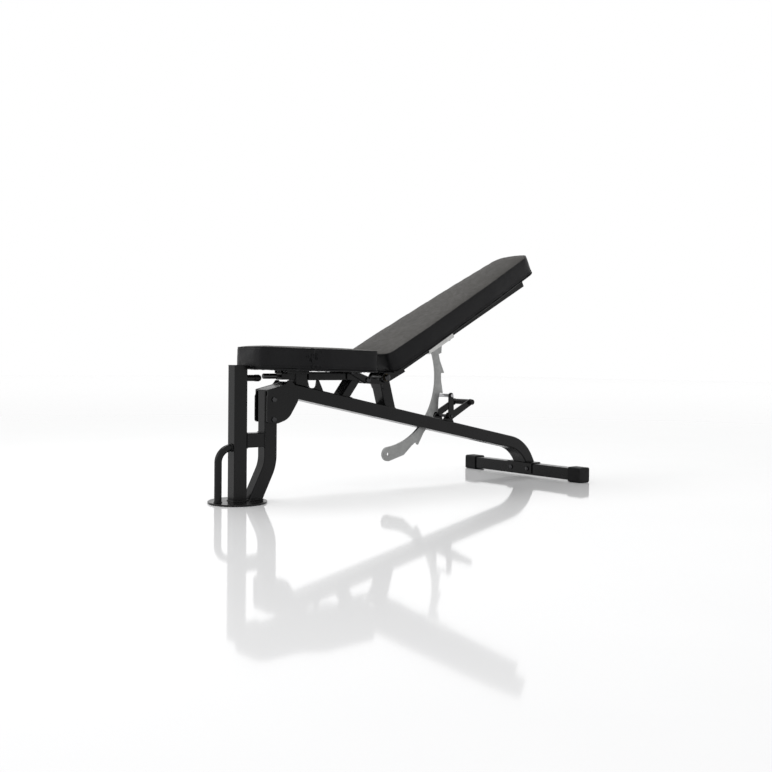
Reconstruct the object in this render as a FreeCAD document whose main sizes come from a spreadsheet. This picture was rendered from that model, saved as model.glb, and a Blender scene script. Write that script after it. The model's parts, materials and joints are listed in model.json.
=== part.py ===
import FreeCAD, Part
import math
import os

import Sketcher

# Adjustable decline sit up bench.
# Frame: +X runs from the round base plate to the rear crossbar, +Y is the bench's left side,
# +Z is up.  The origin is on the floor, under the middle of the whole bench.
# The back angle in the sheet is the angle at which the backrest is stored.

V = FreeCAD.Vector
Y_AXIS = V(0, 1, 0)
SIDES = (("left", 1), ("right", -1))

doc = FreeCAD.newDocument("decline_sit_up_bench")
sheet = doc.addObject("Spreadsheet::Sheet", "Sizes")

SIZES = [
    ("steel_wall", 3, "wall of the square and rectangular tubes"),
    ("tube_size", 50, "outside of the square tubes"),
    ("tube_round", 5, "outside corner radius of the tubes"),
    ("plate_x", -683, "centre of the round base plate"),
    ("plate_radius", 101.5, "base plate radius"),
    ("plate_thick", 6, "base plate thickness"),
    ("post_x", -684.5, "centre of the front post"),
    ("post_top", 470, "top of the front post"),
    ("pipe_x", -758.5, "centre of the round brace pipe"),
    ("pipe_size", 25.4, "outside diameter of the round brace pipe"),
    ("pipe_join_z", 190, "height at which the brace pipe meets the post"),
    ("rear_x", -565, "centre of the rear upright's straight part"),
    ("rear_top", 382, "top of the rear upright"),
    ("rear_bend_z", 127, "height of the rear upright's bend"),
    ("rear_lean", 26, "lean of the rear upright below its bend, degrees"),
    ("tie_z", 213, "centre height of the short tie tube"),
    ("beam_width", 75, "main beam, across the bench"),
    ("beam_depth", 50, "main beam, top to bottom"),
    ("beam_fall", 11.6, "fall of the main beam, degrees"),
    ("beam_mid_z", 283.5, "height of the beam's centre line at X = 0"),
    ("beam_start", -504.5, "front end of the main beam"),
    ("foot_fall", 60, "fall of the beam's foot, degrees"),
    ("foot_bend", 165, "centre line radius of the beam's foot bend"),
    ("cross_x", 753.5, "centre of the rear crossbar"),
    ("cross_z", 31, "centre height of the rear crossbar"),
    ("cross_length", 650, "length of the crossbar's tube"),
    ("cap_size", 62, "outside of the rubber shoes"),
    ("cap_length", 62, "length of each rubber shoe"),
    ("cap_end", 12, "end wall of each rubber shoe"),
    ("saddle_length", 142, "length of the saddle on the crossbar"),
    ("saddle_thick", 5, "saddle plate thickness"),
    ("gusset_thick", 5, "gusset plate thickness"),
    ("truss_width", 60, "width of the seat rail, strut and hinge post"),
    ("rail_top", 449.5, "top of the seat rail"),
    ("rail_depth", 30, "seat rail, top to bottom"),
    ("rail_front", -412.5, "front end of the seat rail"),
    ("rail_rear", -181.5, "rear end of the seat rail"),
    ("sleeve_depth", 52, "seat sleeve, front to back"),
    ("sleeve_top", 446, "top of the seat sleeve"),
    ("cheek_thick", 6, "cheek plate thickness"),
    ("axle_x", -65.5, "backrest axle"),
    ("axle_z", 430, "backrest axle"),
    ("axle_size", 16, "backrest axle diameter"),
    ("sleeve_size", 30, "outside diameter of the hinge sleeve"),
    ("back_angle", 28.5, "backrest angle above level, degrees"),
    ("back_tube_start", 36, "lower end of the back tube, from the axle"),
    ("back_tube_end", 867, "upper end of the back tube, from the axle"),
    ("back_pad_start", -17, "lower end of the back pad, from the axle"),
    ("back_pad_end", 906, "upper end of the back pad, from the axle"),
    ("back_thick", 82, "back pad, board included"),
    ("seat_thick", 76, "seat pad, board included"),
    ("seat_rest", 1, "rise of the seat towards its nose at rest, degrees"),
    ("board_thick", 12, "plywood boards"),
    ("board_inset", 7, "boards inside the pads' outlines"),
    ("bar_thick", 5, "cross bars between back tube and board"),
    ("seat_bottom", 450, "underside of the seat"),
    ("seat_front", -654.5, "front edge of the seat"),
    ("seat_rear", -184, "rear edge of the seat"),
    ("nose_half", 97, "half width of the seat's nose"),
    ("seat_half", 149, "half width of the seat at the rear"),
    ("seat_pivot_x", -153.5, "seat pivot"),
    ("seat_pivot_z", 420, "seat pivot"),
    ("arm_thick", 10, "ratchet arm thickness"),
    ("arm_inner", 285, "ratchet arm, inner radius about the axle at the top"),
    ("arm_end_inner", 274, "ratchet arm, inner radius about the axle at its free end"),
    ("notch_radius", 316, "ratchet arm, floor of the notches"),
    ("tooth_radius", 332, "ratchet arm, tips of the teeth"),
    ("tooth_pitch", 14.25, "angle between two back positions, degrees"),
    ("tooth_count", 6, "back positions"),
    ("lever_x", 268.5, "pivot of the lock lever"),
    ("lever_z", 274.4, "pivot of the lock lever"),
    ("lock_pin_x", 266.5, "lock pin"),
    ("lock_pin_z", 357, "lock pin"),
    ("lock_pin_size", 14, "lock pin diameter"),
    ("handle_x", 374.5, "handle bar of the lock lever"),
    ("handle_z", 329, "handle bar of the lock lever"),
    ("handle_size", 22, "handle bar diameter"),
    ("lever_thick", 6, "lever plate thickness"),
    ("lever_inner", 44, "lever plates, inner face from the middle"),
    ("plunger_z", 434, "height of the seat's pull pin"),
    ("post_plunger_z", 427.5, "height of the front post's pull pin"),
    ("plunger_size", 10, "diameter of both pull pins"),
    ("quadrant_radius", 285, "seat quadrant, middle radius about the seat pivot"),
    ("quadrant_pitch", 6, "angle between two seat positions, degrees"),
]

for row, (alias, number, note) in enumerate(SIZES, start=1):
    sheet.set("A%d" % row, note)
    sheet.set("B%d" % row, str(number))
    sheet.setAlias("B%d" % row, alias)
doc.recompute()


def value(expression):
    """Number that a sheet expression stands for, with bare aliases allowed."""
    return float(sheet.evalExpression(expression))


def cell(alias):
    """Number in one named cell of the sheet."""
    return float(sheet.get(alias))


# ---------------------------------------------------------------- outlines

def polar(radius, degrees, centre=(0.0, 0.0)):
    angle = math.radians(degrees)
    return centre[0] + radius * math.cos(angle), centre[1] + radius * math.sin(angle)


def line(start, end):
    return Part.LineSegment(V(start[0], start[1], 0), V(end[0], end[1], 0))


def arc(start, middle, end):
    points = [V(p[0], p[1], 0) for p in (start, middle, end)]
    return Part.ArcOfCircle(*points)


def corner_arc(before, corner, after, radius):
    """Start, middle and end of the arc that rounds one corner."""
    here = V(corner[0], corner[1], 0)
    to_before = (V(before[0], before[1], 0) - here).normalize()
    to_after = (V(after[0], after[1], 0) - here).normalize()
    half_angle = to_before.getAngle(to_after) / 2
    reach = radius / math.tan(half_angle)
    bisector = (to_before + to_after).normalize()
    middle = here + bisector * (radius / math.sin(half_angle) - radius)
    start = here + to_before * reach
    end = here + to_after * reach
    return (start.x, start.y), (middle.x, middle.y), (end.x, end.y)


def chain(corners):
    """Edges of an open path of (x, y, radius) corners."""
    edges = []
    last = corners[0][:2]
    for before, corner, after in zip(corners, corners[1:], corners[2:]):
        if corner[2] == 0:
            edges.append(line(last, corner))
            last = corner[:2]
            continue
        start, middle, end = corner_arc(before, corner, after, corner[2])
        edges.append(line(last, start))
        edges.append(arc(start, middle, end))
        last = end
    edges.append(line(last, corners[-1]))
    return edges


def outline(corners):
    """Closed outline of (x, y, radius) corners; it starts half way along the last side."""
    first, last = corners[0], corners[-1]
    seam = ((first[0] + last[0]) / 2, (first[1] + last[1]) / 2, 0)
    return chain([seam] + list(corners) + [seam])


def side_shifted(path, shift):
    """A path of (x, y, radius) corners moved sideways; positive shifts to its left."""
    moved = []
    for i, (x, y, radius) in enumerate(path):
        before = V(*path[max(i - 1, 0)][:2], 0)
        after = V(*path[min(i + 1, len(path) - 1)][:2], 0)
        here = V(x, y, 0)
        entering = (here - before) if i else (after - here)
        leaving = (after - here) if i < len(path) - 1 else entering
        entering.normalize()
        leaving.normalize()
        left_in = V(-entering.y, entering.x, 0)
        left_out = V(-leaving.y, leaving.x, 0)
        mitre = (left_in + left_out).normalize()
        turn = entering.x * leaving.y - entering.y * leaving.x
        spot = here + mitre * (shift / mitre.dot(left_in))
        new_radius = radius - shift if turn > 0 else radius + shift
        moved.append((spot.x, spot.y, new_radius if radius else 0))
    return moved


def cut_end(path, index, axis, level):
    """Slide one end of a path along its last run to a vertical or level cut."""
    end = path[index]
    neighbour = path[1] if index == 0 else path[-2]
    share = (level - neighbour[axis]) / (end[axis] - neighbour[axis])
    x = neighbour[0] + share * (end[0] - neighbour[0])
    y = neighbour[1] + share * (end[1] - neighbour[1])
    path[index] = (x, y, 0)


def bent_outline(path, half, start_cut, end_cut):
    """Outline of a bent tube's side, between two cuts given as (axis, level)."""
    upper = side_shifted(path, half)
    lower = side_shifted(path, -half)
    for edge_path in (upper, lower):
        cut_end(edge_path, 0, *start_cut)
        cut_end(edge_path, -1, *end_cut)
    closing = [line(upper[-1], lower[-1]), line(lower[0], upper[0])]
    return chain(upper) + closing[:1] + chain(lower[::-1]) + closing[1:]


def capsule(start, end, start_radius, end_radius):
    """Outline round two circles, joined by their outer tangents."""
    run = math.hypot(end[0] - start[0], end[1] - start[1])
    heading = math.degrees(math.atan2(end[1] - start[1], end[0] - start[0]))
    spread = math.degrees(math.acos((start_radius - end_radius) / run))
    a = polar(start_radius, heading + spread, start)
    b = polar(end_radius, heading + spread, end)
    c = polar(end_radius, heading - spread, end)
    d = polar(start_radius, heading - spread, start)
    tip = polar(end_radius, heading, end)
    tail = polar(start_radius, heading + 180, start)
    return [line(a, b), arc(b, tip, c), line(c, d), arc(d, tail, a)]


def lug_outline(centre, radius, base):
    """Outline of a round ended lug; its two base points run counter-clockwise."""
    tangents = []
    for point, side in ((base[0], 1), (base[1], -1)):
        reach = math.hypot(centre[0] - point[0], centre[1] - point[1])
        heading = math.degrees(math.atan2(point[1] - centre[1], point[0] - centre[0]))
        swing = math.degrees(math.acos(radius / reach))
        tangents.append(polar(radius, heading - side * swing, centre))
    middle_x = (base[0][0] + base[1][0]) / 2
    middle_y = (base[0][1] + base[1][1]) / 2
    away = math.degrees(math.atan2(centre[1] - middle_y, centre[0] - middle_x))
    crown = polar(radius, away, centre)
    return [line(base[0], tangents[0]), arc(tangents[0], crown, tangents[1]),
            line(tangents[1], base[1]), line(base[1], base[0])]


# ---------------------------------------------------------------- bodies

sub_parts = []


def keep(obj, label):
    obj.Label = label
    sub_parts.append(obj)
    return obj


def new_body(label):
    return keep(doc.addObject("PartDesign::Body", label), label)


def new_sketch(body, role, offset=0.0):
    """Sketch on an origin plane; XZ looks along +Y, so its normal points to -Y."""
    sketch = body.newObject("Sketcher::SketchObject", "Outline")
    plane = [item for item in body.Origin.OriginFeatures if item.Role == role][0]
    sketch.AttachmentSupport = [(plane, "")]
    sketch.MapMode = "FlatFace"
    sketch.AttachmentOffset = FreeCAD.Placement(V(0, 0, offset), FreeCAD.Rotation())
    return sketch


def drawn(body, role, edges, offset=0.0):
    sketch = new_sketch(body, role, offset)
    sketch.addGeometry(edges)
    return sketch


def add_rectangle(sketch, width, height):
    """Rectangle about the sketch's origin, sized by two sheet expressions."""
    w, h = value(width) / 2, value(height) / 2
    first = sketch.GeometryCount
    corners = [(-w, -h), (w, -h), (w, h), (-w, h)]
    for i in range(4):
        sketch.addGeometry(line(corners[i], corners[(i + 1) % 4]))
    for i in range(4):
        joint = (first + i, 2, first + (i + 1) % 4, 1)
        sketch.addConstraint(Sketcher.Constraint("Coincident", *joint))
    for kind, side in (("Horizontal", 0), ("Vertical", 1), ("Horizontal", 2), ("Vertical", 3)):
        sketch.addConstraint(Sketcher.Constraint(kind, first + side))
    sketch.addConstraint(Sketcher.Constraint("Symmetric", first, 1, first + 1, 2, -1, 1))
    for kind, side, expression in (("DistanceX", 0, width), ("DistanceY", 1, height)):
        size = Sketcher.Constraint(kind, first + side, 1, first + side, 2, value(expression))
        index = sketch.addConstraint(size)
        sketch.setExpression("Constraints[%d]" % index, expression)


def add_circle(sketch, radius, x=0.0, y=0.0):
    """Circle whose radius is a sheet expression."""
    circle = Part.Circle(V(x, y, 0), V(0, 0, 1), value(radius))
    index = sketch.addGeometry(circle)
    size = sketch.addConstraint(Sketcher.Constraint("Radius", index, value(radius)))
    sketch.setExpression("Constraints[%d]" % size, radius)
    if x == 0 and y == 0:
        sketch.addConstraint(Sketcher.Constraint("Coincident", index, 3, -1, 1))
    else:
        sketch.addConstraint(Sketcher.Constraint("DistanceX", -1, 1, index, 3, x))
        sketch.addConstraint(Sketcher.Constraint("DistanceY", -1, 1, index, 3, y))


def pad(body, sketch, length, symmetric=False, flip=False):
    feature = body.newObject("PartDesign::Pad", "Pad")
    feature.Profile = sketch
    feature.setExpression("Length", length)
    feature.SideType = "Symmetric" if symmetric else "One side"
    feature.Reversed = flip
    body.Tip = feature
    doc.recompute()
    return feature


def pocket(body, sketch, length, symmetric=False, flip=False):
    """Cut that has to remove material."""
    volume = body.Shape.Volume
    feature = body.newObject("PartDesign::Pocket", "Pocket")
    feature.Profile = sketch
    feature.setExpression("Length", length)
    feature.SideType = "Symmetric" if symmetric else "One side"
    feature.Reversed = flip
    body.Tip = feature
    doc.recompute()
    if body.Shape.Volume > volume - 1:
        raise RuntimeError("%s: a pocket cut nothing" % body.Label)
    return feature


def round_edges(body, radius, wanted, kind="Fillet"):
    """Fillet or chamfer the edges that the test picks."""
    base = body.Tip
    names = ["Edge%d" % (i + 1) for i, edge in enumerate(base.Shape.Edges) if wanted(edge)]
    feature = body.newObject("PartDesign::" + kind, kind)
    feature.Base = (base, names)
    feature.setExpression("Radius" if kind == "Fillet" else "Size", radius)
    body.Tip = feature
    doc.recompute()


def runs_along(axis):
    """Test for straight edges that run along one axis: 0, 1 or 2."""
    def test(edge):
        if not isinstance(edge.Curve, Part.Line):
            return False
        return abs(edge.Curve.Direction[axis]) > 0.999
    return test


def bind_place(obj, **expressions):
    for axis, expression in expressions.items():
        obj.setExpression("Placement.Base." + axis, expression)


def straight_tube(label, role, width, height, length, symmetric=False):
    """Rectangular tube along the normal of an origin plane."""
    axis = {"YZ_Plane": 0, "XZ_Plane": 1, "XY_Plane": 2}[role]
    body = new_body(label)
    outer = new_sketch(body, role)
    add_rectangle(outer, width, height)
    pad(body, outer, length, symmetric)
    round_edges(body, "Sizes.tube_round", runs_along(axis))
    inner = new_sketch(body, role)
    walls = " - 2 * Sizes.steel_wall"
    add_rectangle(inner, width + walls, height + walls)
    double = "2 * (%s)" % length
    pocket(body, inner, double, symmetric=True)
    return body


def side_tube(label, outer, inner, width, end_edge=None):
    """Tube drawn from the side, with a cavity that is open at both ends."""
    body = new_body(label)
    pad(body, drawn(body, "XZ_Plane", outer), width, symmetric=True)
    half = value(width) / 2

    def on_flank(edge):
        level = all(abs(abs(vertex.Y) - half) < 0.01 for vertex in edge.Vertexes)
        same = abs(edge.Vertexes[0].Y - edge.Vertexes[-1].Y) < 0.01
        return level and same and not (end_edge and end_edge(edge))

    round_edges(body, "Sizes.tube_round", on_flank)
    pocket(body, drawn(body, "XZ_Plane", inner), width + " - 2 * Sizes.steel_wall", True)
    return body


def side_plate(label, edges, inner_face, thickness, side):
    """Plate drawn from the side, standing off the middle plane on one side."""
    body = new_body(label)
    if side > 0:
        sketch = drawn(body, "XZ_Plane", edges, -inner_face)
        pad(body, sketch, thickness, flip=True)
    else:
        sketch = drawn(body, "XZ_Plane", edges, inner_face)
        pad(body, sketch, thickness)
    return body


def cross_hole(body, x, z, radius):
    """Hole right through a body, along Y."""
    sketch = new_sketch(body, "XZ_Plane")
    add_circle(sketch, radius, x, z)
    pocket(body, sketch, "2 * Sizes.cross_length", symmetric=True)


def group(label, shapes):
    """Several separate solids in one node."""
    feature = doc.addObject("Part::Feature", label)
    feature.Shape = Part.makeCompound(shapes) if len(shapes) > 1 else shapes[0]
    return keep(feature, label)


# ---------------------------------------------------------------- fasteners

def hexagon(flats, height, start, direction):
    points = [V(*polar(flats / math.sqrt(3), 60 * i), 0) for i in range(7)]
    prism = Part.Face(Part.makePolygon(points)).extrude(V(0, 0, height))
    prism.Placement = FreeCAD.Placement(start, FreeCAD.Rotation(V(0, 0, 1), direction))
    return prism


def bolt(size, flats, head, length, under_head, direction):
    """Hex bolt; under_head is where the head meets the work, direction is the shank's."""
    shank = Part.makeCylinder(size / 2, length, under_head, direction)
    prism = hexagon(flats, head, under_head, direction * -1)
    crown = Part.makeSphere(flats * 0.9, under_head + direction * (flats * 0.9 - head * 1.05))
    return shank.fuse(prism.common(crown)).removeSplitter()


def nut(size, flats, height, start, direction):
    """Hex nut on a shank, starting at the face that it bears on."""
    hole = Part.makeCylinder(size / 2 + 0.05, height, start, direction)
    crown = Part.makeSphere(flats * 0.9, start + direction * (height * 1.05 - flats * 0.9))
    return hexagon(flats, height, start, direction).common(crown).cut(hole)


def round_screw(size, head_size, head, length, under_head, direction):
    """Button head screw with a socket."""
    shank = Part.makeCylinder(size / 2, length, under_head, direction)
    cap = Part.makeCylinder(head_size / 2, head, under_head, direction * -1)
    edge = [item for item in cap.Edges if isinstance(item.Curve, Part.Circle)
            and (item.CenterOfMass - under_head).Length > head / 2]
    cap = cap.makeFillet(head * 0.6, edge)
    socket = hexagon(size * 0.6, head * 0.6, under_head - direction * head, direction)
    return shank.fuse(cap).cut(socket)


def coil_spring(radius, wire, turns, length, start, direction):
    """Round wire helix along one direction."""
    helix = Part.makeHelix(length / turns, length, radius)
    profile = Part.Wire(Part.Circle(V(radius, 0, 0), V(0, 1, 0), wire / 2).toShape())
    spring = Part.Wire(helix).makePipeShell([profile], True, True)
    spring.Placement = FreeCAD.Placement(start, FreeCAD.Rotation(V(0, 0, 1), direction))
    return spring


# ---------------------------------------------------------------- front stand

half_tube = cell("tube_size") / 2
fall = math.tan(math.radians(cell("beam_fall")))


def beam_top(x):
    """Height of the main beam's top face."""
    rise = cell("beam_depth") / 2 / math.cos(math.radians(cell("beam_fall")))
    return cell("beam_mid_z") - fall * x + rise


def make_base_plate():
    body = new_body("base_plate")
    disc = new_sketch(body, "XY_Plane")
    add_circle(disc, "Sizes.plate_radius")
    pad(body, disc, "Sizes.plate_thick")
    round_edges(body, "Sizes.plate_thick / 5",
                lambda edge: edge.CenterOfMass.z > cell("plate_thick") - 0.01, "Chamfer")
    bind_place(body, x="Sizes.plate_x")


def make_front_post():
    height = "Sizes.post_top - Sizes.plate_thick"
    body = straight_tube("front_post", "XY_Plane", "Sizes.tube_size", "Sizes.tube_size", height)
    hole = new_sketch(body, "YZ_Plane")
    add_circle(hole, "Sizes.plunger_size / 2 + 0.5", 0,
               cell("post_plunger_z") - cell("plate_thick"))
    pocket(body, hole, "Sizes.tube_size", flip=True)
    bind_place(body, x="Sizes.post_x", z="Sizes.plate_thick")


def make_post_liner():
    """Plastic liner pushed into the open top of the post, with a thin lip on top."""
    inside = "Sizes.tube_size - 2 * Sizes.steel_wall - 0.4"
    body = new_body("post_liner")
    sleeve = new_sketch(body, "XY_Plane")
    add_rectangle(sleeve, inside, inside)
    pad(body, sleeve, "28", flip=True)
    round_edges(body, "1.5", runs_along(2))
    lip = new_sketch(body, "XY_Plane")
    add_rectangle(lip, "Sizes.tube_size", "Sizes.tube_size")
    pad(body, lip, "2")
    round_edges(body, "4", lambda edge: runs_along(2)(edge) and edge.CenterOfMass.z > 0)
    opening = new_sketch(body, "XY_Plane")
    add_rectangle(opening, inside + " - 4", inside + " - 4")
    pocket(body, opening, "100", symmetric=True)
    bind_place(body, x="Sizes.post_x", z="Sizes.post_top")


def make_front_pipe():
    """Round brace that rises from the base plate and turns into the post's front face."""
    body = new_body("front_pipe")
    bend = cell("post_x") - half_tube - cell("pipe_x")
    rise = cell("pipe_join_z") - bend - cell("plate_thick")
    path = drawn(body, "XZ_Plane", [
        line((0, 0), (0, rise)),
        arc((0, rise), polar(bend, 135, (bend, rise)), (bend, rise + bend))])
    ring = new_sketch(body, "XY_Plane")
    add_circle(ring, "Sizes.pipe_size / 2")
    add_circle(ring, "Sizes.pipe_size / 2 - 2")
    pipe = body.newObject("PartDesign::AdditivePipe", "Pipe")
    pipe.Profile = ring
    pipe.Spine = path
    body.Tip = pipe
    bind_place(body, x="Sizes.pipe_x", z="Sizes.plate_thick")


def make_rear_tube():
    """Rear upright: straight at the top, leaning forward below its bend."""
    x, bend_z = cell("rear_x"), cell("rear_bend_z")
    lean = math.tan(math.radians(cell("rear_lean")))
    path = [(x, cell("rear_top"), 0), (x, bend_z, 130), (x - bend_z * lean, 0, 0)]
    cuts = ((1, cell("rear_top")), (1, cell("plate_thick")))
    wall = cell("steel_wall")

    def is_end(edge):
        return edge.BoundBox.ZLength < 0.1

    body = side_tube("rear_tube", bent_outline(path, half_tube, *cuts),
                     bent_outline(path, half_tube - wall, *cuts), "Sizes.tube_size", is_end)
    for z in GUSSET_BOLT_Z:
        cross_hole(body, x, z, "5.5")


def make_tie_tube():
    length = "Sizes.rear_x - Sizes.post_x - Sizes.tube_size"
    body = straight_tube("tie_tube", "YZ_Plane", "Sizes.tube_size", "Sizes.tube_size", length)
    bind_place(body, x="Sizes.post_x + Sizes.tube_size / 2", z="Sizes.tie_z")


# ---------------------------------------------------------------- main beam and its joints

GUSSET_BOLT_Z = (284.0, 353.5)
GUSSET_FRONT = cell("rear_x") - half_tube - 3
GUSSET_SHOULDER = (cell("rear_x") + 45.5, 405.0)
GUSSET_LOW = 270.0


def make_gussets():
    front_top = 387.0
    rear = cell("rear_x") + 103
    peak = GUSSET_SHOULDER[0] + 17
    flush = cell("rear_x") - half_tube + 0.5
    corners = [
        (GUSSET_FRONT, GUSSET_LOW + 4, 9), (GUSSET_FRONT, 364, 5), (flush, 371, 3),
        (flush, front_top + 1, 3), (GUSSET_SHOULDER[0], GUSSET_SHOULDER[1], 12),
        (peak - 5.5, front_top + 33, 6), (peak + 5.5, front_top + 33, 6),
        (peak + 24, 403, 8), (rear, 400, 7), (rear - 1, 350, 55), (rear - 43, 284, 60),
        (rear - 88, GUSSET_LOW - 1, 30)]
    for name, side in SIDES:
        plate = side_plate("gusset_plate_" + name, outline(corners), cell("beam_width") / 2,
                           "Sizes.gusset_thick", side)
        for z in GUSSET_BOLT_Z:
            cross_hole(plate, cell("rear_x"), z, "5.5")

    thick = cell("gusset_thick")
    low, high = (flush, front_top), (cell("beam_start") - 1, 415.5)
    cover = new_body("gusset_cover")
    edges = outline([(*low, 0), (*GUSSET_SHOULDER, 4), (*high, 0), (high[0], high[1] - 7, 0),
                     (GUSSET_SHOULDER[0] + 2, GUSSET_SHOULDER[1] - thick, 4),
                     (low[0], low[1] - thick, 0)])
    pad(cover, drawn(cover, "XZ_Plane", edges), "Sizes.beam_width", symmetric=True)


def make_gusset_fasteners():
    reach = cell("beam_width") / 2 + cell("gusset_thick")
    x = cell("rear_x")
    bolts, nuts, spacers = [], [], []
    for z in GUSSET_BOLT_Z:
        bolts.append(bolt(10, 17, 6.4, 2 * reach + 11, V(x, -reach, z), Y_AXIS))
        nuts.append(nut(10, 17, 8, V(x, reach, z), Y_AXIS))
        for side in (1, -1):
            tube = Part.makeCylinder(11, cell("beam_width") / 2 - half_tube,
                                     V(x, side * half_tube, z), Y_AXIS * side)
            bore = Part.makeCylinder(5.5, cell("beam_width") / 2, V(x, 0, z), Y_AXIS * side)
            spacers.append(tube.cut(bore))
    group("gusset_bolts", bolts)
    group("gusset_nuts", nuts)
    group("gusset_spacers", spacers)


def beam_path():
    """Centre line of the main beam: straight, then bent down on to the crossbar."""
    foot_top = cell("cross_z") + half_tube + cell("saddle_thick")
    steep = math.tan(math.radians(cell("foot_fall")))
    corner_x = (cell("beam_mid_z") - foot_top - steep * cell("cross_x")) / (fall - steep)
    corner_z = cell("beam_mid_z") - fall * corner_x
    start = cell("beam_start")
    path = [(start, cell("beam_mid_z") - fall * start, 0),
            (corner_x, corner_z, cell("foot_bend")),
            (cell("cross_x"), foot_top, 0)]
    return path, ((0, start), (1, foot_top))


def make_main_beam():
    path, cuts = beam_path()
    half = cell("beam_depth") / 2

    def is_end(edge):
        box = edge.BoundBox
        return box.XLength < 0.1 or box.ZLength < 0.1

    body = side_tube("main_beam", bent_outline(path, half, *cuts),
                     bent_outline(path, half - cell("steel_wall"), *cuts),
                     "Sizes.beam_width", is_end)
    # The slot follows the ratchet arm's circle through the top and bottom walls.
    axle = (cell("axle_x"), cell("axle_z"))
    inner, outer = cell("arm_end_inner") - 3.5, cell("tooth_radius") + 4
    high, low = -24, -52
    middle = (high + low) / 2
    slot = [line(polar(inner, high, axle), polar(outer, high, axle)),
            arc(polar(outer, high, axle), polar(outer, middle, axle), polar(outer, low, axle)),
            line(polar(outer, low, axle), polar(inner, low, axle)),
            arc(polar(inner, low, axle), polar(inner, middle, axle), polar(inner, high, axle))]
    pocket(body, drawn(body, "XZ_Plane", slot), "Sizes.arm_thick + 4", symmetric=True)
    # The seat quadrant drops through a hole in the top wall only.
    middle_x = QUADRANT_X
    hole = outline([(middle_x - 12, -18, 3), (middle_x + 13, -18, 3),
                    (middle_x + 13, 18, 3), (middle_x - 12, 18, 3)])
    pocket(body, drawn(body, "XY_Plane", hole, 440), "70")


def make_crossbar():
    bar = straight_tube("crossbar", "XZ_Plane", "Sizes.tube_size", "Sizes.tube_size",
                        "Sizes.cross_length", symmetric=True)
    bind_place(bar, x="Sizes.cross_x", z="Sizes.cross_z")

    half, thick = half_tube, cell("saddle_thick")
    leg = -17
    saddle = new_body("crossbar_saddle")
    edges = outline([
        (-half - thick, leg, 1), (-half - thick, half + thick, 7),
        (half + thick, half + thick, 7), (half + thick, leg, 1),
        (half, leg, 1), (half, half, 3), (-half, half, 3), (-half, leg, 1)])
    pad(saddle, drawn(saddle, "XZ_Plane", edges), "Sizes.saddle_length", symmetric=True)
    bind_place(saddle, x="Sizes.cross_x", z="Sizes.cross_z")
    for body in (bar, saddle):
        holes = new_sketch(body, "YZ_Plane")
        for y in SADDLE_BOLT_Y:
            add_circle(holes, "5.5", y, SADDLE_BOLT_RISE)
        pocket(body, holes, "2 * Sizes.cap_size", symmetric=True)

    reach = half + thick
    bolts, nuts = [], []
    for y in SADDLE_BOLT_Y:
        spot = V(cell("cross_x") - reach, y, cell("cross_z") + SADDLE_BOLT_RISE)
        bolts.append(bolt(10, 17, 6.4, 2 * reach + 10.5, spot, V(1, 0, 0)))
        nuts.append(nut(10, 17, 8, spot + V(2 * reach, 0, 0), V(1, 0, 0)))
    group("saddle_bolts", bolts)
    group("saddle_nuts", nuts)


SADDLE_BOLT_Y = (-47.5, 47.5)
SADDLE_BOLT_RISE = 2.0


def make_caps():
    """Rubber shoes pushed over both ends of the crossbar."""
    for name, side in SIDES:
        body = new_body("crossbar_cap_" + name)
        block = new_sketch(body, "XZ_Plane")
        add_rectangle(block, "Sizes.cap_size", "Sizes.cap_size")
        pad(body, block, "Sizes.cap_length", flip=True)
        round_edges(body, "9", runs_along(1))
        inner = new_sketch(body, "XZ_Plane")
        add_rectangle(inner, "Sizes.tube_size + 0.1", "Sizes.tube_size + 0.1")
        pocket(body, inner, "Sizes.cap_length - Sizes.cap_end")
        body.Placement.Rotation = FreeCAD.Rotation(V(0, 0, 1), 0 if side > 0 else 180)
        inboard = "(Sizes.cross_length / 2 + Sizes.cap_end - Sizes.cap_length)"
        bind_place(body, x="Sizes.cross_x", y="%d * %s" % (side, inboard), z="Sizes.cross_z")


# ---------------------------------------------------------------- seat truss

QUADRANT_X = cell("seat_pivot_x") - cell("quadrant_radius")


def make_seat_sleeve():
    half = cell("sleeve_depth") / 2
    top, wall = cell("sleeve_top"), cell("steel_wall")

    def box(reach, extra):
        left, right = QUADRANT_X - reach, QUADRANT_X + reach
        return outline([(left, beam_top(left), 0), (right, beam_top(right), 0),
                        (right, top + extra, 0), (left, top + extra, 0)])

    body = new_body("seat_sleeve")
    pad(body, drawn(body, "XZ_Plane", box(half, 0)), "Sizes.tube_size", symmetric=True)
    round_edges(body, "Sizes.tube_round", runs_along(2))
    cavity = new_sketch(body, "XY_Plane")
    add_rectangle(cavity, "Sizes.sleeve_depth - 2 * Sizes.steel_wall",
                  "Sizes.tube_size - 2 * Sizes.steel_wall")
    cavity.AttachmentOffset = FreeCAD.Placement(V(QUADRANT_X, 0, 0), FreeCAD.Rotation())
    pocket(body, cavity, "2 * Sizes.sleeve_top", symmetric=True)
    hole = new_sketch(body, "YZ_Plane", QUADRANT_X)
    add_circle(hole, "Sizes.plunger_size / 2 + 0.1", 0, cell("plunger_z"))
    pocket(body, hole, "Sizes.sleeve_depth")


def make_seat_rail():
    length = "Sizes.rail_rear - Sizes.rail_front"
    body = straight_tube("seat_rail", "YZ_Plane", "Sizes.truss_width", "Sizes.rail_depth", length)
    bind_place(body, x="Sizes.rail_front", z="Sizes.rail_top - Sizes.rail_depth / 2")


def make_rail_gusset():
    """Web between sleeve, beam and rail, with a deep round bottomed cut out."""
    front, under = cell("rail_front"), cell("rail_top") - cell("rail_depth")
    tail, floor = front + 83, 391
    corners = [(front, beam_top(front), 0), (tail, beam_top(tail), 0),
               (front + 62, under, 2), (front + 55, under, 2),
               (front + 50, floor, 11), (front + 20, floor, 11),
               (front + 13, under, 2), (front, under, 0)]
    body = new_body("rail_gusset")
    pad(body, drawn(body, "XZ_Plane", outline(corners)), "10", symmetric=True)


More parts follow.
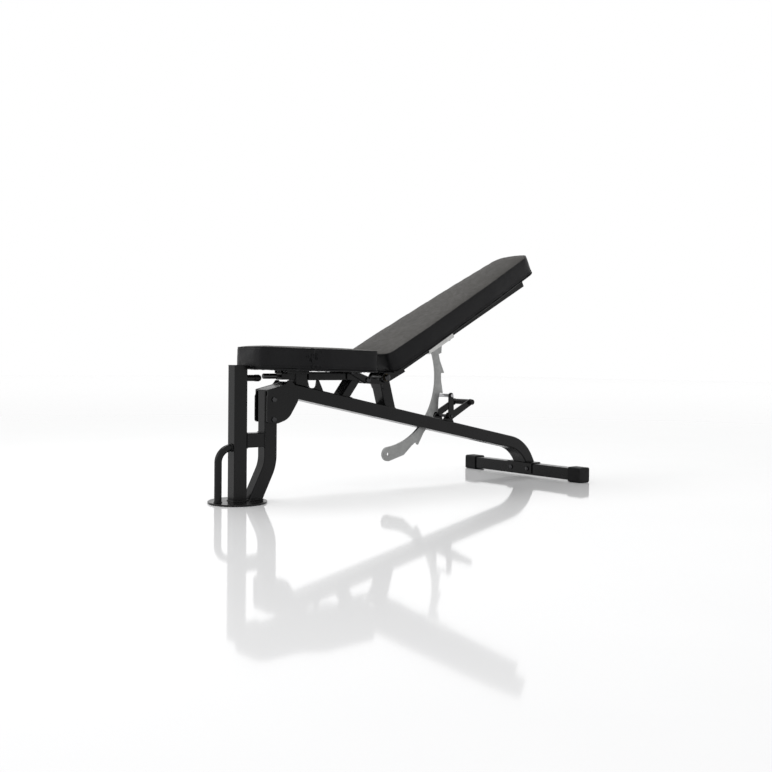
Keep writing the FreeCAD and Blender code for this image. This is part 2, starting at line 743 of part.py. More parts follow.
def leaning_tube(label, top_x, top_z, lean, depth, top_corners):
    """Leaning tube from the beam's top face; lean is its horizontal run per unit of height."""
    half = depth / 2 * math.hypot(1, lean)
    wall = cell("steel_wall") * math.hypot(1, lean)

    def foot(x):
        """Point where a line through (x, top_z) meets the beam."""
        spot = (x + lean * (beam_top(0) - top_z)) / (1 + lean * fall)
        return spot, beam_top(spot)

    def shape(reach):
        left, right = top_x - reach, top_x + reach
        return outline([(*foot(left), 0), (*foot(right), 0)] + top_corners(left, right))

    return side_tube(label, shape(half), shape(half - wall), "Sizes.truss_width",
                     lambda edge: edge.BoundBox.ZLength < 0.45 * edge.Length)


def make_strut():
    under = cell("rail_top") - cell("rail_depth")
    lean = math.tan(math.radians(37.2))

    def top(left, right):
        stop = min(right, cell("rail_rear"))
        if stop == right:
            return [(right, under, 0), (left, under, 0)]
        return [(stop, under - (right - stop) / lean, 0), (stop, under, 0), (left, under, 0)]

    leaning_tube("strut", -201, under, lean, 36, top)


def make_hinge_post():
    x, z = cell("axle_x"), cell("axle_z")
    lean = -math.tan(math.radians(16))

    def top(left, right):
        return [(right, z, 0), (left, z, 0)]

    body = leaning_tube("hinge_post", x, z, lean, 47, top)
    saddle = new_sketch(body, "XZ_Plane")
    add_circle(saddle, "Sizes.sleeve_size / 2 + 0.1", x, z)
    pocket(body, saddle, "2 * Sizes.truss_width", symmetric=True)


def make_cheeks():
    """Plates that join the rail, the strut and the hinge post, and hold the seat pivot."""
    pivot = (cell("seat_pivot_x"), cell("seat_pivot_z"))
    rail_top = cell("rail_top") - 4
    post = cell("axle_x")
    corners = [
        (pivot[0] - 92, pivot[1] + 2, 4), (pivot[0] - 92, rail_top, 4),
        (pivot[0] - 30, rail_top, 12), (pivot[0] + 1, pivot[1] + 14, 10),
        (post - 31, 419, 9), (post - 17, 412.5, 5), (post + 18, 411, 5), (post + 25, 388, 5),
        (post - 7, 385, 7), (post - 15, 404, 8), (pivot[0] + 14, pivot[1] - 13, 9),
        (pivot[0] - 14, pivot[1] - 13, 11), (pivot[0] - 40, pivot[1] - 2, 14)]
    for name, side in SIDES:
        body = side_plate("cheek_plate_" + name, outline(corners), cell("truss_width") / 2,
                          "Sizes.cheek_thick", side)
        cross_hole(body, pivot[0], pivot[1], "6.1")


def make_hinge_axle():
    x, z = cell("axle_x"), cell("axle_z")
    half = cell("truss_width") / 2 + cell("cheek_thick")
    sleeve = new_body("hinge_sleeve")
    ring = new_sketch(sleeve, "XZ_Plane")
    add_circle(ring, "Sizes.sleeve_size / 2")
    add_circle(ring, "Sizes.axle_size / 2 + 0.2")
    pad(sleeve, ring, "Sizes.truss_width + 2 * Sizes.cheek_thick", symmetric=True)
    bind_place(sleeve, x="Sizes.axle_x", z="Sizes.axle_z")

    washer_face = half + 8.8
    size = cell("axle_size")
    shank = Part.makeCylinder(size / 2, 2 * washer_face + 15, V(x, -washer_face, z), Y_AXIS)
    head = hexagon(24, 10, V(x, -washer_face, z), Y_AXIS * -1)
    crown = Part.makeSphere(22, V(x, -washer_face + 11.5, z))
    group("hinge_axle", [shank.fuse(head.common(crown)).removeSplitter()])

    pivot = V(cell("seat_pivot_x"), 0, cell("seat_pivot_z"))
    face = half + 6.4
    group("seat_pivot_bolt", [bolt(12, 19, 7.5, 2 * face + 13, pivot - Y_AXIS * face, Y_AXIS)])
    group("pivot_nuts", [nut(size, 24, 13, V(x, washer_face, z), Y_AXIS),
                         nut(12, 19, 10, pivot + Y_AXIS * face, Y_AXIS)])


# ---------------------------------------------------------------- lock lever

def make_lock_mount():
    """Two ears on the beam, the pin that the lever turns on, and its two springs."""
    x, z = cell("lever_x"), cell("lever_z")
    base = [(x - 28, beam_top(x - 28)), (x + 28, beam_top(x + 28))]
    ears = []
    for side in (1, -1):
        wire = Part.Wire([edge.toShape() for edge in lug_outline((x, z), 14, base)])
        wire.rotate(V(0, 0, 0), V(1, 0, 0), 90)
        ear = Part.Face(wire).extrude(V(0, 6, 0))
        ear.translate(V(0, 28 if side > 0 else -34, 0))
        ears.append(ear.cut(Part.makeCylinder(6.1, 200, V(x, -100, z), Y_AXIS)))
    group("lock_ears", ears)

    end = cell("lever_inner") + cell("lever_thick") + 4
    pin = Part.makeCylinder(6, 2 * end, V(x, -end, z), Y_AXIS)
    group("lock_pivot_pin", [pin.makeChamfer(1, [e for e in pin.Edges if e.Length < 40
                                                 and e.BoundBox.YLength < 1])])
    springs = []
    for side in (1, -1):
        spring = coil_spring(7.6, 1.4, 2, 7.2, V(x, side * 35.2, z), Y_AXIS * side)
        springs.append(spring)
    group("lock_springs", springs)


def make_lock_lever():
    pivot = (cell("lever_x"), cell("lever_z"))
    pin = (cell("lock_pin_x"), cell("lock_pin_z"))
    handle = (cell("handle_x"), cell("handle_z"))
    for name, side in SIDES:
        body = side_plate("lever_plate_" + name, capsule(pivot, pin, 14, 11.5),
                          cell("lever_inner"), "Sizes.lever_thick", side)
        face = cell("lever_inner") if side < 0 else -cell("lever_inner")
        arm = drawn(body, "XZ_Plane", capsule(pivot, handle, 14, 12.5), face)
        pad(body, arm, "Sizes.lever_thick", flip=side > 0)
        cross_hole(body, *pivot, "6.05")
        cross_hole(body, *pin, "Sizes.lock_pin_size / 2")
        cross_hole(body, *handle, "Sizes.handle_size / 2")

    lock = new_body("lock_pin")
    disc = new_sketch(lock, "XZ_Plane")
    add_circle(disc, "Sizes.lock_pin_size / 2")
    pad(lock, disc, "2 * (Sizes.lever_inner + Sizes.lever_thick + 7)", symmetric=True)
    round_edges(lock, "1.5", lambda edge: edge.BoundBox.YLength < 0.1, "Chamfer")
    bind_place(lock, x="Sizes.lock_pin_x", z="Sizes.lock_pin_z")

    bar = new_body("handle_bar")
    ring = new_sketch(bar, "XZ_Plane")
    add_circle(ring, "Sizes.handle_size / 2")
    pad(bar, ring, "2 * (Sizes.lever_inner + Sizes.lever_thick + 13)", symmetric=True)
    round_edges(bar, "3", lambda edge: edge.BoundBox.YLength < 0.1)
    bind_place(bar, x="Sizes.handle_x", z="Sizes.handle_z")


# ---------------------------------------------------------------- pull pins

SEAT_HOUSING_FRONT = -519.5
SEAT_KNOB = (-585.5, -531.0)
SEAT_PIN_TIP = -445.5
POST_KNOB = (-621.0, -594.5)


def lathe(profile, height):
    """Solid turned about the X direction at one height, from (x, radius) points."""
    points = [V(profile[0][0], 0, 0)]
    points += [V(x, 0, radius) for x, radius in profile]
    points += [V(profile[-1][0], 0, 0), points[0]]
    solid = Part.Face(Part.makePolygon(points)).revolve(V(0, 0, 0), V(1, 0, 0), 360)
    solid.translate(V(0, 0, height))
    return solid


def make_seat_pin():
    """Spring plunger that holds the seat quadrant, drawn just clear of it."""
    z, radius = cell("plunger_z"), cell("plunger_size") / 2
    rear = QUADRANT_X - cell("sleeve_depth") / 2
    body = new_body("seat_pin_housing")
    block = new_sketch(body, "YZ_Plane", SEAT_HOUSING_FRONT)
    add_rectangle(block, "40", "25")
    pad(body, block, "%.3f" % (rear - SEAT_HOUSING_FRONT))
    round_edges(body, "3", runs_along(0))
    bore = new_sketch(body, "YZ_Plane", SEAT_HOUSING_FRONT)
    add_circle(bore, "Sizes.plunger_size / 2 + 0.1")
    pocket(body, bore, "300", symmetric=True)
    chamber = new_sketch(body, "YZ_Plane", rear - 3.5)
    add_circle(chamber, "8.5")
    pocket(body, chamber, "47")
    bind_place(body, z="Sizes.plunger_z")

    front, back = SEAT_KNOB
    knob = 9.5
    profile = [(front, knob - 2), (front + 2, knob), (back - 2, knob), (back, knob - 2),
               (back, radius), (-482, radius), (-482, 7), (-479, 7), (-479, radius),
               (SEAT_PIN_TIP - 2, radius), (SEAT_PIN_TIP, radius - 1.5)]
    group("seat_pin", [lathe(profile, z)])
    spring_start = V(SEAT_HOUSING_FRONT + 6, 0, z)
    group("seat_pin_spring", [coil_spring(6.7, 1.5, 5, 27, spring_start, V(1, 0, 0))])


def make_post_pin():
    """Spring plunger that holds whatever is slid into the front post."""
    z, radius = cell("post_plunger_z"), cell("plunger_size") / 2
    face = cell("post_x") + half_tube
    end = POST_KNOB[0] - 1.5
    barrel = lathe([(face, 13), (face + 4, 13), (face + 4, 11), (end - 1, 11), (end, 10)], z)
    bore = lathe([(face - 1, radius + 0.1), (end + 1, radius + 0.1)], z)
    chamber = lathe([(face + 4.5, 8.5), (end - 4.5, 8.5)], z)
    group("post_pin_barrel", [barrel.cut(bore).cut(chamber)])
    front, back = POST_KNOB
    profile = [(face - 16, radius - 1.5), (face - 14, radius), (face + 5, radius),
               (face + 5, 7), (face + 8, 7), (face + 8, radius), (front, radius),
               (front, 10), (front + 3, 12), (back - 9, 12), (back - 3, 9.5), (back, 5.5)]
    group("post_pin", [lathe(profile, z)])
    spring_start = V(face + 9, 0, z)
    group("post_pin_spring", [coil_spring(6.7, 1.5, 4, 21.5, spring_start, V(1, 0, 0))])


# ---------------------------------------------------------------- seat

def seat_plan(inset):
    """Seat outline from above: a narrow nose that widens through a hollow curve."""
    front, rear = cell("seat_front") + inset, cell("seat_rear") - inset
    nose, wide = cell("nose_half") - inset, cell("seat_half") - inset
    half = [(front, 0, 0), (front, -nose, 46 - inset), (front + 170, -nose - 4, 90),
            (front + 238, -wide, 70), (rear, -wide, 30 - inset), (rear, 0, 0)]
    mirror = [(x, -y, radius) for x, y, radius in half[::-1]]
    return chain(half) + chain(mirror)


def padded_body(label, plan, board_plan, thickness, round_radius):
    """Closed pad with a recess for its board, standing on the XY plane."""
    body = new_body(label)
    pad(body, drawn(body, "XY_Plane", plan), thickness)
    top = value(thickness)
    round_edges(body, round_radius, lambda edge: edge.BoundBox.ZMin > top - 0.01)
    pocket(body, drawn(body, "XY_Plane", board_plan), "Sizes.board_thick", flip=True)
    return body


def board_body(label, plan, hole_spots):
    body = new_body(label)
    pad(body, drawn(body, "XY_Plane", plan), "Sizes.board_thick")
    holes = new_sketch(body, "XY_Plane")
    for x, y in hole_spots:
        add_circle(holes, "4.2", x, y)
    pocket(body, holes, "4 * Sizes.board_thick", symmetric=True)
    return body


seat_rotation = FreeCAD.Rotation(Y_AXIS, cell("seat_rest"))


def hang_on_pivot(obj, rise):
    """Turn a piece drawn level, rise above the floor, about the seat pivot to its rest."""
    obj.Placement.Rotation = seat_rotation
    turn = "Sizes.seat_rest * 1deg"
    drop = "(%s - Sizes.seat_pivot_z)" % rise
    bind_place(obj, x="Sizes.seat_pivot_x * (1 - cos(%s)) + %s * sin(%s)" % (turn, drop, turn),
               z="Sizes.seat_pivot_z + Sizes.seat_pivot_x * sin(%s) + %s * cos(%s)"
               % (turn, drop, turn))


SEAT_FRONT_SCREWS = [(QUADRANT_X + x, y) for x in (-62, -36) for y in (-33, 33)]
SEAT_HINGE_SCREWS = [(cell("seat_pivot_x") + x, y) for x in (-88, -60) for y in (-60, 60)]


def make_seat():
    inset = cell("board_inset")
    seat = padded_body("seat_pad", seat_plan(0), seat_plan(inset), "Sizes.seat_thick", "14")
    board = board_body("seat_board", seat_plan(inset), SEAT_FRONT_SCREWS + SEAT_HINGE_SCREWS)
    for body in (seat, board):
        hang_on_pivot(body, "Sizes.seat_bottom")

    screws = []
    for spots, thick in ((SEAT_FRONT_SCREWS, 3), (SEAT_HINGE_SCREWS, 4)):
        for x, y in spots:
            under = V(x, y, cell("seat_bottom") - thick)
            screws.append(round_screw(8, 14, 4.2, thick + 10, under, V(0, 0, 1)))
    hang_on_pivot(group("seat_screws", screws), "0")


def make_seat_hinges():
    """Angle brackets under the seat that turn on the seat pivot."""
    pivot = (cell("seat_pivot_x"), cell("seat_pivot_z"))
    top = cell("seat_bottom")
    inner = cell("truss_width") / 2 + cell("cheek_thick") + 1
    base = [(pivot[0] - 51, top), (pivot[0] - 98, top)]
    solids = []
    for side in (1, -1):
        wire = Part.Wire([edge.toShape() for edge in lug_outline(pivot, 13, base)])
        wire.rotate(V(0, 0, 0), V(1, 0, 0), 90)
        web = Part.Face(wire).extrude(V(0, 5, 0))
        web.translate(V(0, inner if side > 0 else -inner - 5, 0))
        flange = Part.makeBox(47, 33, 4, V(pivot[0] - 98, inner if side > 0 else -inner - 33,
                                           top - 4))
        bracket = web.fuse(flange)
        bracket = bracket.cut(Part.makeCylinder(6.06, 200, V(pivot[0], -100, pivot[1]), Y_AXIS))
        for x, y in SEAT_HINGE_SCREWS:
            bracket = bracket.cut(Part.makeCylinder(4.2, 20, V(x, y, top - 10)))
        solids.append(bracket.removeSplitter())
    hang_on_pivot(group("seat_hinge_brackets", solids), "0")


def make_seat_quadrant():
    """Curved bar about the seat pivot, on a plate under the seat's front."""
    pivot = (cell("seat_pivot_x"), cell("seat_pivot_z"))
    radius, top = cell("quadrant_radius"), cell("seat_bottom") - 3
    inner, outer = radius - 6, radius + 6
    start = [180 - math.degrees(math.asin((top - pivot[1]) / r)) for r in (inner, outer)]
    end = 180 + 12.0
    body = new_body("seat_quadrant")
    edges = [line(polar(inner, start[0], pivot), polar(outer, start[1], pivot)),
             arc(polar(outer, start[1], pivot), polar(outer, 180, pivot),
                 polar(outer, end, pivot)),
             line(polar(outer, end, pivot), polar(inner, end, pivot)),
             arc(polar(inner, end, pivot), polar(inner, 180, pivot),
                 polar(inner, start[0], pivot))]
    pad(body, drawn(body, "XZ_Plane", edges), "30", symmetric=True)
    front = QUADRANT_X - 78
    plate = outline([(front, -44, 6), (QUADRANT_X + 24, -44, 6),
                     (QUADRANT_X + 24, 44, 6), (front, 44, 6)])
    pad(body, drawn(body, "XY_Plane", plate, top), "3")
    for side in (1, -1):
        flange = outline([(front + 6, side * 41, 0), (QUADRANT_X + 18, side * 41, 0),
                          (QUADRANT_X + 18, side * 44, 0), (front + 6, side * 44, 0)])
        pad(body, drawn(body, "XY_Plane", flange, top - 9), "10")
    holes = new_sketch(body, "XY_Plane", top)
    for x, y in SEAT_FRONT_SCREWS:
        add_circle(holes, "4.2", x, y)
    pocket(body, holes, "20", symmetric=True)
    pin_angle = math.degrees(math.asin((cell("plunger_z") - pivot[1]) / radius))
    for position in range(3):
        slant = cell("seat_rest") + position * cell("quadrant_pitch")
        angle = 180 - pin_angle + slant
        tool_start = V(*polar(outer + 4, angle, pivot), 0)
        tool = doc.addObject("Part::Cylinder", "PinHole")
        tool.Radius = cell("plunger_size") / 2 + 0.8
        tool.Height = 20
        aim = V(math.cos(math.radians(slant)), 0, math.sin(math.radians(slant)))
        tool.Placement = FreeCAD.Placement(V(tool_start.x, 0, tool_start.y),
                                           FreeCAD.Rotation(V(0, 0, 1), aim))
        boolean_tools.append(tool)
    body.Label = "seat_quadrant_blank"
    sub_parts.remove(body)
    cut = doc.addObject("Part::Cut", "seat_quadrant_cut")
    drill = doc.addObject("Part::MultiFuse", "PinHoles")
    drill.Shapes = boolean_tools
    cut.Base = body
    cut.Tool = drill
    hang_on_pivot(keep(cut, "seat_quadrant"), "0")


boolean_tools = []


# ---------------------------------------------------------------- backrest
# The backrest is drawn level, with the axle at the origin, then turned to its angle.

back_rotation = FreeCAD.Rotation(Y_AXIS, -cell("back_angle"))
BAR_SPOTS = (140.0, 640.0)
BAR_LENGTH = 180.0


def hang_on_axle(obj, rise="0"):
    """Turn a piece drawn about the axle to the back angle, rise above the axle line."""
    obj.Placement.Rotation = back_rotation
    bind_place(obj, x="Sizes.axle_x - (%s) * sin(Sizes.back_angle * 1deg)" % rise,
               z="Sizes.axle_z + (%s) * cos(Sizes.back_angle * 1deg)" % rise)


def turned(shape):
    """A shape drawn about the axle, turned to the back angle."""
    moved = shape.copy()
    moved.Placement = FreeCAD.Placement(V(cell("axle_x"), 0, cell("axle_z")), back_rotation)
    return moved


def make_back_tube():
    tube = straight_tube("back_tube", "YZ_Plane", "Sizes.tube_size", "Sizes.tube_size",
                         "Sizes.back_tube_end - Sizes.back_tube_start")
    tube.Placement.Rotation = back_rotation
    bind_place(tube, x="Sizes.axle_x + Sizes.back_tube_start * cos(Sizes.back_angle * 1deg)",
               z="Sizes.axle_z + Sizes.back_tube_start * sin(Sizes.back_angle * 1deg)")

    cap = new_body("back_tube_cap")
    lid = new_sketch(cap, "YZ_Plane", cell("back_tube_end"))
    add_rectangle(lid, "Sizes.tube_size", "Sizes.tube_size")
    pad(cap, lid, "4")
    round_edges(cap, "5", runs_along(0))
    plug = new_sketch(cap, "YZ_Plane", cell("back_tube_end"))
    inside = "Sizes.tube_size - 2 * Sizes.steel_wall - 0.3"
    add_rectangle(plug, inside, inside)
    pad(cap, plug, "14", flip=True)
    hang_on_axle(cap)


def make_hinge_lugs():
    """Plates with welded blocks that carry the back tube on the axle."""
    inner = cell("truss_width") / 2 + cell("cheek_thick") + 1
    start, stop = cell("back_tube_start"), 92
    base = [(stop, -half_tube), (stop, half_tube)]
    for name, side in SIDES:
        body = side_plate("hinge_lug_" + name, lug_outline((0, 0), 20, base), inner, "6", side)
        block = outline([(start + 2, -20, 3), (stop - 4, -20, 3), (stop - 4, 20, 3),
                         (start + 2, 20, 3)])
        face = half_tube if side < 0 else -half_tube
        sketch = drawn(body, "XZ_Plane", block, face)
        pad(body, sketch, "%.3f" % (inner - half_tube + 1), flip=side > 0)
        cross_hole(body, 0, 0, "11")
        hang_on_axle(body)

    bushes = []
    for side in (1, -1):
        ring = Part.makeCylinder(11, 6, V(0, side * inner, 0), Y_AXIS * side)
        flange = Part.makeCylinder(14, 1.5, V(0, side * (inner + 6), 0), Y_AXIS * side)
        bore = Part.makeCylinder(cell("axle_size") / 2 + 0.06, 200, V(0, -100, 0), Y_AXIS)
        bushes.append(turned(ring.fuse(flange).removeSplitter().cut(bore)))
    group("hinge_bushes", bushes)


def back_plan(inset):
    """Back pad outline from above: full at the lower end, slimmer towards the head."""
    start, end = cell("back_pad_start") + inset, cell("back_pad_end") - inset
    half = [(start, 0, 0), (start, -139 + inset, 30 - inset), (start + 190, -142 + inset, 500),
            (start + 620, -121 + inset, 900), (end - 5, -94 + inset, 56 - inset), (end, 0, 0)]
    mirror = [(x, -y, radius) for x, y, radius in half[::-1]]
    return chain(half) + chain(mirror)


def make_back_pad():
    inset = cell("board_inset")
    rise = "(Sizes.tube_size / 2 + Sizes.bar_thick)"
    cushion = padded_body("back_pad", back_plan(0), back_plan(inset), "Sizes.back_thick", "14")
    spots = [(x + dx, y) for x in BAR_SPOTS for dx in (0,) for y in (-75, -45, 45, 75)]
    board = board_body("back_board", back_plan(inset), spots)
    for body in (cushion, board):
        hang_on_axle(body, rise)

    under = half_tube
    bars, screws = [], []
    for x in BAR_SPOTS:
        bar = Part.makeBox(40, BAR_LENGTH, cell("bar_thick"), V(x - 20, -BAR_LENGTH / 2, under))
        for y in (-75, -45, 45, 75):
            bar = bar.cut(Part.makeCylinder(4.2, 20, V(x, y, under - 5)))
            screw = round_screw(8, 14, 4.2, cell("bar_thick") + 10, V(x, y, under), V(0, 0, 1))
            screws.append(turned(screw))
        bars.append(turned(bar))
    group("mount_bars", bars)
    group("back_screws", screws)


ARM_FOOT = (250.0, 397.0)
ARM_BOLTS = [(x, y) for x in (268.0, 378.0) for y in (-14.0, 14.0)]
FIRST_TOOTH = 17.3


def make_ratchet_arm():
    """Toothed arm: a ring sector about the axle that hangs from a foot on the back tube."""
    inner, floor, tip = cell("arm_inner"), cell("notch_radius"), cell("tooth_radius")
    end_inner = cell("arm_end_inner")
    pitch, count = cell("tooth_pitch"), int(cell("tooth_count"))
    foot_thick = 6
    level = -half_tube - foot_thick
    end_angle = -110.1
    first = FIRST_TOOTH - cell("back_angle")
    points = [(math.sqrt(inner ** 2 - level ** 2), level), (345, level)]
    for index in range(count):
        angle = first - index * pitch
        points.append(polar(tip, angle + 0.5))
        points.append(polar(tip, angle))
        points.append(polar(floor, angle))
        points.append(polar(floor, angle - 5))
    points.append(polar(tip - 3, first - count * pitch))
    points.append(polar(tip - 3, end_angle))
    edges = [line(a, b) for a, b in zip(points, points[1:])]
    middle = (end_inner + tip - 3) / 2
    reach = (tip - 3 - end_inner) / 2
    turn_centre = polar(middle, end_angle)
    edges.append(arc(points[-1], polar(reach, end_angle - 90, turn_centre),
                     polar(end_inner, end_angle)))
    edges.append(arc(polar(end_inner, end_angle), polar(inner, end_angle / 2), points[0]))
    body = new_body("ratchet_arm")
    pad(body, drawn(body, "XZ_Plane", edges), "Sizes.arm_thick", symmetric=True)
    cross_hole(body, *turn_centre, "7")
    hang_on_axle(body)

    foot = new_body("arm_foot")
    wide, rise = half_tube + 4.5, 13.5
    channel = outline([(-wide, level, 5), (wide, level, 5), (wide, level + foot_thick + rise, 1),
                       (half_tube + 0.3, level + foot_thick + rise, 1),
                       (half_tube + 0.3, -half_tube, 0), (-half_tube - 0.3, -half_tube, 0),
                       (-half_tube - 0.3, level + foot_thick + rise, 1),
                       (-wide, level + foot_thick + rise, 1)])
    pad(foot, drawn(foot, "YZ_Plane", channel, ARM_FOOT[0]),
        "%.1f" % (ARM_FOOT[1] - ARM_FOOT[0]))
    holes = new_sketch(foot, "XY_Plane", level)
    for x, y in ARM_BOLTS:
        add_circle(holes, "4.2", x, y)
    pocket(foot, holes, "40", symmetric=True)
    hang_on_axle(foot)
    bolts = [turned(bolt(8, 13, 5.3, foot_thick, V(x, y, level), V(0, 0, 1)))
             for x, y in ARM_BOLTS]
    group("arm_bolts", bolts)


# ---------------------------------------------------------------- build

for make in (make_base_plate, make_front_post, make_post_liner, make_front_pipe, make_rear_tube,
             make_tie_tube, make_gussets, make_gusset_fasteners, make_main_beam, make_crossbar,
             make_caps, make_seat_sleeve, make_seat_rail, make_rail_gusset, make_strut,
             make_hinge_post, make_cheeks, make_hinge_axle, make_lock_mount, make_lock_lever,
             make_seat_pin, make_post_pin, make_seat, make_seat_hinges, make_seat_quadrant,
             make_back_tube, make_hinge_lugs, make_back_pad, make_ratchet_arm):
    make()

doc.recompute()
for obj in doc.Objects:
    if "Invalid" in obj.State or "Error" in obj.State:
        raise RuntimeError("%s failed: %s" % (obj.Label, obj.State))
os.makedirs("parts", exist_ok=True)
for obj in sub_parts:
    if obj.Shape.isNull() or not obj.Shape.isValid():
        raise RuntimeError("%s has no valid shape" % obj.Label)
    obj.Shape.exportStep("parts/%s.step" % obj.Label)
print("%d sub-parts" % len(sub_parts))
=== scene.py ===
import json
import math

import bmesh
import bpy
from mathutils import Matrix, Vector, noise
from mathutils.bvhtree import BVHTree
from mathutils.kdtree import KDTree


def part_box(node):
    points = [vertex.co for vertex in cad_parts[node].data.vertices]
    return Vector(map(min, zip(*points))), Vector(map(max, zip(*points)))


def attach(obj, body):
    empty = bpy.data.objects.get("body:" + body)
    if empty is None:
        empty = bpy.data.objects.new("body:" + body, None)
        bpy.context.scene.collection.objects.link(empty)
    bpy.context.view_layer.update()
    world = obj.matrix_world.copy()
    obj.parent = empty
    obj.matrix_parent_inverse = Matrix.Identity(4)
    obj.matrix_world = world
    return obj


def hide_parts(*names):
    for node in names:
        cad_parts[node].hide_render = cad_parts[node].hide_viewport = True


# Decline sit up bench: materials, padded seat and backrest, weld beads and trim.
# Everything is in metres, in the CAD's frame.

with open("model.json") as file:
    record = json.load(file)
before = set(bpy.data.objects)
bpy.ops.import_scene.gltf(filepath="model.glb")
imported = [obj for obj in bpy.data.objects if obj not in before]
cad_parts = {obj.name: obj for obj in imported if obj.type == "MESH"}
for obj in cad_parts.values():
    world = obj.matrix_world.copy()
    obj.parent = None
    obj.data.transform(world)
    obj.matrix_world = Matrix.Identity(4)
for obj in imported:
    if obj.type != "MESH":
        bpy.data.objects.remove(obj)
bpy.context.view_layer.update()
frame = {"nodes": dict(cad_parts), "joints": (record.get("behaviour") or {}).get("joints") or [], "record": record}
joints = {joint["name"]: joint for joint in frame["joints"]}
scene = bpy.context.scene

AXLE = Vector(joints["recline"]["pos_m"])
SEAT_PIVOT = Vector(joints["seat_tilt"]["pos_m"])


# ---------------------------------------------------------------- materials

class Shade:
    """A node material on one Principled shader, textured by place on the object in metres."""

    def __init__(self, name, metallic=0.0, specular=0.5):
        self.material = bpy.data.materials.new(name)
        self.material.use_nodes = True
        self.nodes = self.material.node_tree.nodes
        self.links = self.material.node_tree.links
        self.shader = self.nodes["Principled BSDF"]
        self.shader.inputs["Metallic"].default_value = metallic
        self.shader.inputs["Specular IOR Level"].default_value = specular
        self.place = self.nodes.new("ShaderNodeTexCoord").outputs["Object"]
        self.height = None

    def node(self, kind, **inputs):
        made = self.nodes.new("ShaderNode" + kind)
        for key, item in inputs.items():
            socket = made.inputs[key.replace("_", " ")]
            if isinstance(item, bpy.types.NodeSocket):
                self.links.new(item, socket)
            else:
                socket.default_value = item
        return made

    def noise(self, scale, detail=3.0, rough=0.55, stretch=(1, 1, 1)):
        place = self.node("Mapping", Vector=self.place, Scale=stretch).outputs[0]
        return self.node("TexNoise", Vector=place, Scale=scale, Detail=detail,
                         Roughness=rough).outputs["Fac"]

    def cells(self, scale, wobble, feature="F1"):
        """Distance in a cell pattern whose walls are bent by noise."""
        shift = self.node("TexNoise", Vector=self.place, Scale=scale * 0.6, Detail=2.0)
        push = self.node("VectorMath", Vector=shift.outputs["Color"])
        push.operation = "SCALE"
        push.inputs["Scale"].default_value = wobble / scale
        total = self.nodes.new("ShaderNodeVectorMath")
        self.links.new(self.place, total.inputs[0])
        self.links.new(push.outputs[0], total.inputs[1])
        made = self.node("TexVoronoi", Vector=total.outputs[0], Scale=scale)
        made.feature = feature
        return made.outputs["Distance"]

    def remap(self, value, low, high, to_low, to_high):
        made = self.node("MapRange", Value=value)
        for key, number in (("From Min", low), ("From Max", high),
                            ("To Min", to_low), ("To Max", to_high)):
            made.inputs[key].default_value = number
        return made.outputs[0]

    def blend(self, factor, first, second):
        """Colour between two colours or colour sockets."""
        made = self.nodes.new("ShaderNodeMix")
        made.data_type = "RGBA"
        self.links.new(factor, made.inputs["Factor"])
        for key, item in ((6, first), (7, second)):
            if isinstance(item, bpy.types.NodeSocket):
                self.links.new(item, made.inputs[key])
            else:
                made.inputs[key].default_value = (*item, 1)
        return made.outputs[2]

    def colour(self, socket):
        self.links.new(socket, self.shader.inputs["Base Color"])
        return self

    def roughness(self, socket):
        self.links.new(socket, self.shader.inputs["Roughness"])
        return self

    def bump(self, value, distance, strength=1.0):
        """Bump layers stack; distance is the real height in metres."""
        made = self.node("Bump", Height=value, Strength=strength, Distance=distance)
        if self.height:
            self.links.new(self.height, made.inputs["Normal"])
        self.height = made.outputs["Normal"]
        self.links.new(self.height, self.shader.inputs["Normal"])
        return self

    def soft_edges(self, radius):
        """Rounds the look of sharp edges; comes before any bump."""
        made = self.nodes.new("ShaderNodeBevel")
        made.samples = 6
        made.inputs["Radius"].default_value = radius
        self.height = made.outputs["Normal"]
        self.links.new(self.height, self.shader.inputs["Normal"])
        return self


def scaled(colour, factor):
    return tuple(min(1.0, channel * factor) for channel in colour)


def powder_coat(name, colour, rough):
    """Powder coat: fine orange peel, faint dust and handling marks."""
    shade = Shade(name, specular=0.2).soft_edges(0.0014)
    dust = shade.noise(9, 5, 0.6)
    fine = shade.noise(150, 3)
    body = shade.blend(shade.remap(dust, 0.35, 0.7, 0, 1), scaled(colour, 0.8),
                       scaled(colour, 1.35))
    shade.colour(shade.blend(shade.remap(fine, 0.62, 0.8, 0, 0.5), body, scaled(colour, 2.2)))
    shade.roughness(shade.remap(shade.noise(34, 4), 0.3, 0.7, rough - 0.06, rough + 0.09))
    shade.bump(shade.noise(900, 2), 0.00007, 0.7).bump(shade.noise(260, 2), 0.00008, 0.5)
    return shade.material


def metal(name, colour, rough, grain=(1, 1, 1), grain_scale=500, scuffs=0.0, edge=0.0006):
    """Bare or plated metal with a drawn grain, stains and scuffs."""
    shade = Shade(name, metallic=1.0).soft_edges(edge)
    stain = shade.noise(22, 5, 0.62)
    grain_value = shade.noise(grain_scale, 3, 0.6, grain)
    base = shade.blend(shade.remap(stain, 0.35, 0.72, 0, 1), scaled(colour, 0.82),
                       scaled(colour, 1.1))
    spots = shade.remap(shade.cells(210, 0.8), 0.05, 0.4, 0.22, 0)
    shade.colour(shade.blend(spots, base, scaled(colour, 0.62)))
    mixed = shade.remap(grain_value, 0.3, 0.7, rough - 0.07, rough + 0.12 + scuffs)
    shade.roughness(mixed)
    shade.bump(grain_value, 0.00006, 0.6)
    return shade.material


